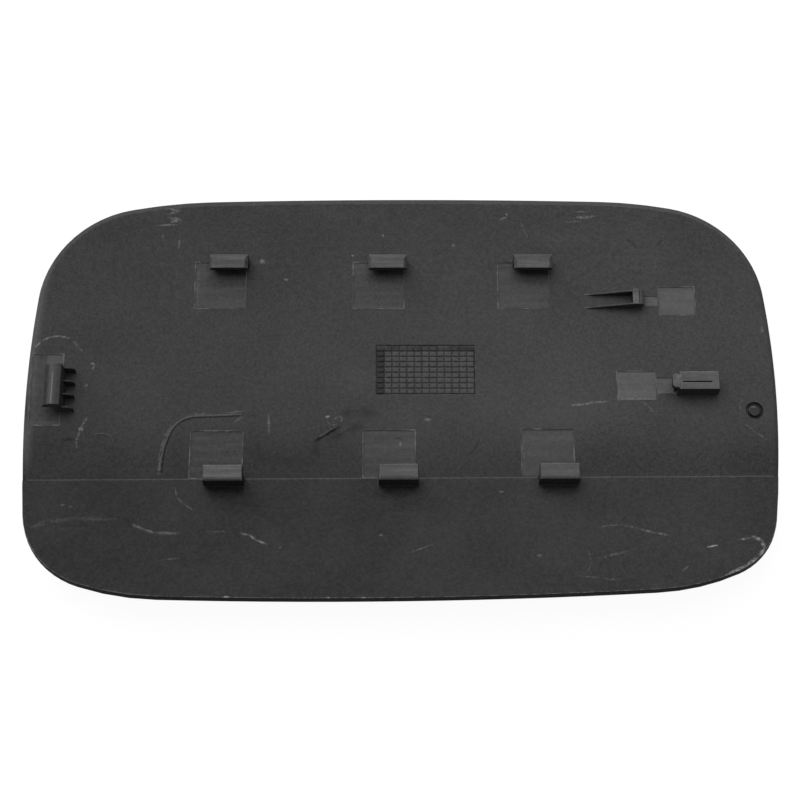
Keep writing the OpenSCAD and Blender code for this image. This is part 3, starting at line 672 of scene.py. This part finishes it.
# %% Finish the plastic
rough = 0.52 - skin * 0.14 + clouds.ramp(0.3, 0.7, -0.02, 0.02) + scuffs_and_highlights * 0.1 + engraved * 0.2 + walls * 0.35
relief = (grain * 0.6 + specks * 0.4) * (1.0 - skin * 0.8) + streaks * tops * 0.6
bump_settings = {"Strength": 0.8, "Distance": 0.035 * MM, "Height": relief, "Normal": rounded}
surface_normal = graph.node("ShaderNodeBump", {}, bump_settings)
shader_settings = {"Base Color": colour, "Roughness": rough, "Normal": surface_normal, "Specular IOR Level": 0.1}
shader = graph.node("ShaderNodeBsdfPrincipled", {}, shader_settings)
graph.node("ShaderNodeOutputMaterial", {}, {"Surface": shader})
flap.data.materials.clear()
flap.data.materials.append(plastic)
print("plastic has", len(plastic.node_tree.nodes), "nodes")

# %% [markdown]
# ## Burrs and flow lines
# Thin plastic that stands up is rubbed grey. The burrs are palest at their corners and ends, in broken lengths.

# %% Dress the ridges
rubbed, burr_graph = start_material("rubbed_plastic")
burr_place = burr_graph.node("ShaderNodeTexCoord", output=3)
patches = burr_graph.node("ShaderNodeTexNoise", {}, {"Vector": burr_place, "Scale": 260.0, "Detail": 2.0})
dust = burr_graph.node("ShaderNodeTexNoise", {}, {"Vector": burr_place, "Scale": 2400.0, "Detail": 2.0})
burr_tone = 0.045 + patches.ramp(0.42, 0.66, 0.0, 0.12) * dust.ramp(0.35, 0.65, 0.4, 1.0)
burr_colour = burr_graph.node("ShaderNodeCombineColor", {}, {0: burr_tone, 1: burr_tone, 2: burr_tone * 1.02})
burr_settings = {"Base Color": burr_colour, "Roughness": 0.55, "Specular IOR Level": 0.4}
burr_shader = burr_graph.node("ShaderNodeBsdfPrincipled", {}, burr_settings)
burr_graph.node("ShaderNodeOutputMaterial", {}, {"Surface": burr_shader})
for burr in burrs:
    burr.data.materials.append(rubbed)
for ridge in ridges:
    ridge.data.materials.clear()
    ridge.data.materials.append(plastic)
print("rubbed plastic on", len(burrs), "burrs")

# %% [markdown]
# ## Floor and light
# The photograph stands on pure white. The floor shows white to the camera and keeps the flap's soft shadow. It is
# darker to the plastic itself, because the real walls that face the camera are nearly black.



# %% Rays that show the background
def background_rays(tree):
    """Full for what the camera sees straight, in a reflection or through glass."""
    paths = [tree.node("ShaderNodeLightPath", output=kind) for kind in ("Is Camera Ray", "Is Glossy Ray", "Is Transmission Ray")]
    return paths[0].most(paths[1]).most(paths[2])


# %% Lay the floor
FLOOR_WHITE = 0.9
deselect_all()
bpy.ops.mesh.primitive_plane_add(size=6.0, location=(0.0, 0.0, low.z))
floor = bpy.context.object
floor.name = "floor"
paper, paper_graph = start_material("white_paper")
seen = background_rays(paper_graph)
grey = seen * 0.6 + 0.2
paper_colour = paper_graph.node("ShaderNodeCombineColor", {}, {0: grey, 1: grey, 2: grey})
paper_matte = paper_graph.node("ShaderNodeBsdfDiffuse", {}, {"Color": paper_colour})
paper_glow = paper_graph.node("ShaderNodeEmission", {}, {"Color": (1.0, 1.0, 1.0, 1.0), "Strength": 1.06})
paper_mix = paper_graph.node("ShaderNodeMixShader", {}, {0: seen * FLOOR_WHITE, 1: paper_matte, 2: paper_glow})
paper_graph.node("ShaderNodeOutputMaterial", {}, {"Surface": paper_mix})
floor.data.materials.append(paper)
print("floor lies at", round(low.z / MM, 3), "mm")

# %% Set the sky
world = bpy.data.worlds.new("studio")
bpy.context.scene.world = world
world.use_nodes = True
world.node_tree.nodes.clear()
sky_graph = Wire(world.node_tree)
sky_seen = background_rays(sky_graph)
sky_settings = {"Color": (1.0, 1.0, 1.0, 1.0), "Strength": sky_seen * 0.86 + 0.14}
sky = sky_graph.node("ShaderNodeBackground", {}, sky_settings)
sky_graph.node("ShaderNodeOutputWorld", {}, {"Surface": sky})


# %% Hang the softboxes
def hang_softbox(name, location, width, depth, power):
    """A rectangular lamp that faces the middle of the flap."""
    data = bpy.data.lights.new(name, "AREA")
    data.shape = "RECTANGLE"
    data.size = width
    data.size_y = depth
    data.energy = power
    lamp = bpy.data.objects.new(name, data)
    lamp.location = location
    lamp.rotation_euler = (-lamp.location).to_track_quat("-Z", "Y").to_euler()
    bpy.context.scene.collection.objects.link(lamp)
    return lamp


hang_softbox("overhead_softbox", (-0.12, 0.35, 0.97), 1.05, 0.9, 9.0)
hang_softbox("back_left_softbox", (-0.75, 0.80, 0.32), 0.7, 0.4, 5.0)

# %% Set the colour view
bpy.context.scene.view_settings.view_transform = "Standard"
